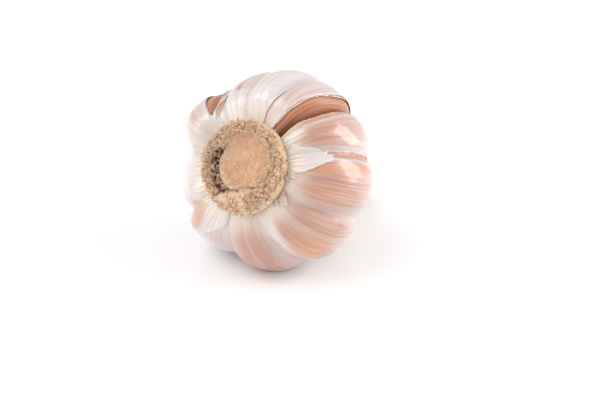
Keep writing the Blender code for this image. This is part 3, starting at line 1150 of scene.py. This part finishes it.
class GARLIC_OT_root_plate(bpy.types.Operator):
    """Build the corky root plate"""

    bl_idname = "garlic.root_plate"
    bl_label = "Root plate"

    def execute(self, context):
        _, colours = settings()
        rings, columns = 110, 320
        angle = TURN * np.arange(columns) / columns
        radius, angle = np.meshgrid(np.linspace(0.05, PLATE_RIM, rings + 1), angle, indexing="ij")
        x, y = radius * np.sin(angle), radius * np.cos(angle)
        depth, shade_and_dark_tone, smooth = plate_form(x, y)
        places = np.stack((x, y, depth), axis=-1)
        back = places[-1:] * (BACK_SHARE, BACK_SHARE, 0.0) + (0.0, 0.0, PLATE_BACK)
        places = np.concatenate((places, back))
        shade_and_dark_tone, smooth = np.vstack((shade_and_dark_tone, shade_and_dark_tone[-1:])), np.vstack((smooth, smooth[-1:]))
        x, y = places[..., 0], places[..., 1]
        grey = bell(x, GREY_SPOT[0], 4.0) * bell(y, GREY_SPOT[1], 4.5)
        light = 0.30 + 0.65 * (1.0 - smooth) + 0.9 * smooth_step(-y, 6.0, 7.5)
        values = {"shade_and_dark_tone": shade_and_dark_tone, "light": light, "grey": grey}
        faces = tube_faces(rings + 1, columns)
        obj = add_mesh("root_plate_cork", plate_points(places), faces, values, {"place": places})
        settle(obj, "corky_plate", cork_finish(colours, "cork"), "root_plate")
        return {"FINISHED"}


def tube(path, radii, sides):
    """Rings of corners round a nearly straight path."""
    way = unit(path[len(path) // 2] - path[0])
    first = unit(np.cross(way, (0.31, 0.17, 0.93)))
    second = np.cross(way, first)
    turn = TURN * np.arange(sides) / sides
    ring = np.cos(turn)[:, None] * first + np.sin(turn)[:, None] * second
    return path[:, None] + radii[:, None, None] * ring


class GARLIC_OT_root_stubs(bpy.types.Operator):
    """Build the trimmed roots and root threads that ring the plate"""

    bl_idname = "garlic.root_stubs"
    bl_label = "Root stubs"

    def execute(self, context):
        sizes, colours = settings()
        draw = np.random.default_rng(ROOT_SEED)
        pile = Pile()
        for _ in range(sizes.stubs):
            self.add_stub(pile, draw, sizes.stub_length / MM)
        for _ in range(sizes.threads):
            self.add_thread(pile, draw)
        settle(pile.mesh("root_stubs"), "corky_plate", cork_finish(colours, "root_fibre"))
        return {"FINISHED"}

    def foot(self, draw):
        """A place on the ring, kept off the smooth parts of the plate."""
        while True:
            turn = draw.uniform(0.0, TURN)
            radius = PLATE_RIM - 0.5 - ROOT_RING * draw.uniform(0.0, 1.0) ** 1.2
            x, y = radius * math.sin(turn), radius * math.cos(turn)
            in_disc = math.hypot(x - DISC_CENTRE[0], y - DISC_CENTRE[1]) < DISC_RADIUS + 0.1
            on_low_side = y < -6.6 and -9.0 < x < 1.5 and radius < 11.4
            in_cleft = plate_form(x, y)[1] > 0.6
            if in_disc or (on_low_side and draw.uniform() < 0.9) or (in_cleft and draw.uniform() < 0.6):
                continue
            return np.array((x, y)), radius

    def add_tube(self, pile, path, radii, sides, values):
        rings = tube(path, radii, sides)
        faces = tube_faces(len(path) - 1, sides, turned=True)
        pile.add(plate_points(rings), faces, values, {"place": rings})

    def add_stub(self, pile, draw, length):
        """A short stiff root, cut off square."""
        place, radius = self.foot(draw)
        depth, shade_and_dark_tone, _ = (float(part) for part in plate_form(*place))
        lean = 0.15 + 0.7 * smooth_step(radius, 10.5, PLATE_RIM)
        way = unit(np.append(place / radius * lean, -1.0) + draw.normal(0.0, 0.50, 3))
        reach = length * draw.uniform(0.45, 1.35)
        thick = draw.uniform(0.17, 0.40)
        steps = np.array((-0.5, 0.35 * reach, reach, reach, reach - 1.2 * thick))
        bend = draw.normal(0.0, 0.12, 3)
        path = np.append(place, depth) + steps[:, None] * way + (steps[:, None] / length) ** 2 * bend
        radii = thick * np.array((1.1, 1.0, draw.uniform(0.8, 1.1), 0.62, 0.45))
        # Painted shade: each stub is darker at its foot among the others and in the hollow of its cut end,
        # and paler towards the cut.
        light = np.repeat((0.5, 0.8, 1.1, 1.0, 0.5), STUB_SIDES) * draw.uniform(0.70, 1.30)
        dark = np.repeat((max(0.05, shade_and_dark_tone * 0.8), shade_and_dark_tone * 0.3, 0.0, 0.0, 0.25), STUB_SIDES)
        greyness = bell(place[0], GREY_SPOT[0], 4.0) * bell(place[1], GREY_SPOT[1] - 0.5, 5.0)
        grey = draw.uniform() < 0.5 * greyness
        values = {"shade_and_dark_tone": dark, "light": light, "grey": 0.9 * grey}
        self.add_tube(pile, path, radii, STUB_SIDES, values)

    def add_thread(self, pile, draw):
        """A fine dry root that lies over the others."""
        place, _ = self.foot(draw)
        depth = float(plate_form(*place)[0])
        way = unit(np.append(draw.normal(0.0, 1.0, 2), draw.normal(-0.25, 0.3)))
        steps = np.linspace(0.0, draw.uniform(0.8, 2.4), 7)
        bend = draw.normal(0.0, 0.16, 3)
        path = np.append(place, depth - 0.25) + steps[:, None] * way + steps[:, None] ** 2 * bend
        out = np.hypot(path[:, 0], path[:, 1])
        path[:, :2] *= (np.minimum(out, PLATE_RIM + 0.3) / out)[:, None]
        radii = np.full(7, draw.uniform(0.05, 0.10))
        values = {"shade_and_dark_tone": draw.uniform(0.0, 0.15), "light": draw.uniform(0.5, 1.4), "grey": 0.0}
        self.add_tube(pile, path, radii, THREAD_SIDES, values)


class GARLIC_OT_stalk(bpy.types.Operator):
    """Build the dry stalk that runs up to the cut neck"""

    bl_idname = "garlic.stalk"
    bl_label = "Stalk"

    def execute(self, context):
        _, colours = settings()
        angle, radius, height = BULB.around(node_points("central_stalk"))
        rows, columns, cap_rows = 70, 96, 14
        low, high = height.min(), height.max()
        turn = TURN * np.arange(columns) / columns
        at, turn = np.meshgrid(np.linspace(low, high, rows + 1), turn, indexing="ij")
        outside = radius > 0.6 * radius.max()
        order = np.argsort(height[outside])
        ribs = ripples(turn, at, STALK_SEED, (7, 13, 22, 31), 0.02) * 0.28 * MM
        around = np.interp(at, height[outside][order], radius[outside][order]) * 0.96 + ribs - 0.2 * MM
        jag = 0.5 * MM * ripples(turn, at * 0.0, STALK_SEED + 1, (5, 9, 17), 0.0)
        at = at + smooth_step(at, high - 4.0 * MM, high) * jag

        cap = np.linspace(0.9, 0.02, cap_rows)[:, None]
        cap_turn = np.broadcast_to(turn[-1], (cap_rows, columns))
        grain = 0.35 * MM * ripples(cap_turn * 2.0, cap * 0.02, STALK_SEED + 2, (6, 11), 90.0)
        at = np.vstack((at, at[-1] - 0.6 * MM * (1.0 - cap) + grain))
        turn, around = np.vstack((turn, cap_turn)), np.vstack((around, around[-1] * cap))
        cut = np.clip((at - high) / MM + 1.0, 0.0, 1.0)
        values = {"shade_and_dark_tone": cut * 0.35, "light": 0.75 + 0.0 * at, "grey": 0.45 + 0.0 * at}
        place = np.stack((around * np.cos(turn), around * np.sin(turn), at * 0.25), axis=-1) / MM
        faces = tube_faces(len(at) - 1, columns)
        obj = add_mesh("stalk_fibre", BULB.place(turn, around, at), faces, values, {"place": place})
        settle(obj, "dry_stalk", cork_finish(colours, "stalk"), "central_stalk")
        return {"FINISHED"}


# --- Stage ---

VIEW_AZIMUTH = math.radians(35.0)
VIEW_ELEVATION = math.radians(29.0)

# The camera's lens and distance, and how far right of and below the belly's centre it looks.
LENS = 100.0
VIEW_DISTANCE = 0.464
VIEW_RIGHT, VIEW_DOWN = 6.8, 8.5

# Lamps in metres: direction in the view's own axes, distance, width, height and radiance.
SOFTBOXES = {
    "key": ((-0.75, 0.85, 0.55), 0.8, 0.70, 0.60, 2.1),
    "window": ((0.95, 0.34, 0.12), 0.6, 0.36, 0.52, 3.6),
    "side": ((0.90, 0.30, 0.45), 0.8, 0.40, 0.60, 0.8),
    "fill": ((-0.80, -0.08, 0.60), 0.7, 0.50, 0.36, 1.0),
}
SKY_STRENGTH = 0.70


def view_axes():
    """The directions right, up and back of the standing view."""
    sin_a, cos_a = math.sin(VIEW_AZIMUTH), math.cos(VIEW_AZIMUTH)
    sin_e, cos_e = math.sin(VIEW_ELEVATION), math.cos(VIEW_ELEVATION)
    back = Vector((sin_a * cos_e, -cos_a * cos_e, sin_e))
    right = Vector((cos_a, sin_a, 0.0))
    return right, back.cross(right), back


def belly_centre():
    return Vector(BULB.origin + BULB.axis * BULB.belly_height)


def aimed(obj, place, target):
    obj.location = place
    obj.rotation_euler = (place - target).to_track_quat("Z", "Y").to_euler()
    bpy.context.scene.collection.objects.link(obj)


def add_softbox(name, direction, distance, width, height, radiance):
    """A rectangular lamp that faces the bulb from this direction in the view's own axes."""
    lamp = bpy.data.lights.new(name, "AREA")
    lamp.shape = "RECTANGLE"
    lamp.size, lamp.size_y = width, height
    lamp.energy = radiance * width * height * math.pi
    right, up, back = view_axes()
    way = (right * direction[0] + up * direction[1] + back * direction[2]).normalized()
    aimed(bpy.data.objects.new(name, lamp), belly_centre() + way * distance, belly_centre())


class GARLIC_OT_stage(bpy.types.Operator):
    """Build the floor, the lights and the camera"""

    bl_idname = "garlic.stage"
    bl_label = "Stage"

    def execute(self, context):
        _, colours = settings()
        self.add_floor(colours)
        self.add_world()
        for name, setting in SOFTBOXES.items():
            add_softbox(name, *setting)
        self.add_camera()
        return {"FINISHED"}

    def add_floor(self, colours):
        mesh = bpy.data.meshes.new("floor")
        form = bmesh.new()
        bmesh.ops.create_grid(form, x_segments=8, y_segments=8, size=4.0)
        form.to_mesh(mesh)
        form.free()
        floor = bpy.data.objects.new("floor", mesh)
        bpy.context.scene.collection.objects.link(floor)
        finish = Finish("floor")
        place = finish.node("ShaderNodeTexCoord").outputs["Object"]
        grain = finish.noise(place, 60.0, 3.0)
        shade = finish.mix(grain * 0.04, colours.floor, (0.93, 0.93, 0.93))
        floor.data.materials.append(finish.finish(Base_Color=shade, Roughness=0.9))

    def add_world(self):
        world = bpy.data.worlds.new("studio")
        bpy.context.scene.world = world
        world.use_nodes = True
        background = world.node_tree.nodes["Background"]
        background.inputs["Color"].default_value = (1.0, 1.0, 1.0, 1.0)
        background.inputs["Strength"].default_value = SKY_STRENGTH

    def add_camera(self):
        lens = bpy.data.cameras.new("camera")
        lens.lens = LENS
        lens.sensor_width = 36.0
        lens.clip_start = 0.01
        camera = bpy.data.objects.new("camera", lens)
        right, up, back = view_axes()
        target = belly_centre() + right * VIEW_RIGHT * MM - up * VIEW_DOWN * MM
        aimed(camera, target + back * VIEW_DISTANCE, target)
        bpy.context.scene.camera = camera
        bpy.context.scene.view_settings.view_transform = "Standard"


# --- Panel and registration ---

STEPS = (
    GARLIC_OT_cloves,
    GARLIC_OT_inner_skin,
    GARLIC_OT_outer_skin,
    GARLIC_OT_paper_scraps,
    GARLIC_OT_root_plate,
    GARLIC_OT_root_stubs,
    GARLIC_OT_stalk,
    GARLIC_OT_stage,
)


class GARLIC_PT_panel(bpy.types.Panel):
    """Lists the steps that build the bulb"""

    bl_idname = "GARLIC_PT_panel"
    bl_label = "Garlic bulb"
    bl_space_type = "VIEW_3D"
    bl_region_type = "UI"
    bl_category = "Garlic"

    def draw(self, context):
        for step in STEPS:
            self.layout.operator(step.bl_idname)
        for group in (context.scene.garlic_sizes, context.scene.garlic_colours):
            for name in group.bl_rna.properties.keys():
                if name not in ("rna_type", "name"):
                    self.layout.prop(group, name)


CLASSES = (GARLIC_PG_sizes, GARLIC_PG_colours, *STEPS, GARLIC_PT_panel)


def register():
    for cls in CLASSES:
        bpy.utils.register_class(cls)
    bpy.types.Scene.garlic_sizes = PointerProperty(type=GARLIC_PG_sizes)
    bpy.types.Scene.garlic_colours = PointerProperty(type=GARLIC_PG_colours)


def unregister():
    del bpy.types.Scene.garlic_sizes
    del bpy.types.Scene.garlic_colours
    for cls in reversed(CLASSES):
        bpy.utils.unregister_class(cls)


def main():
    register()
    for step in STEPS:
        group, name = step.bl_idname.split(".")
        getattr(getattr(bpy.ops, group), name)()


if __name__ == "__main__":
    main()
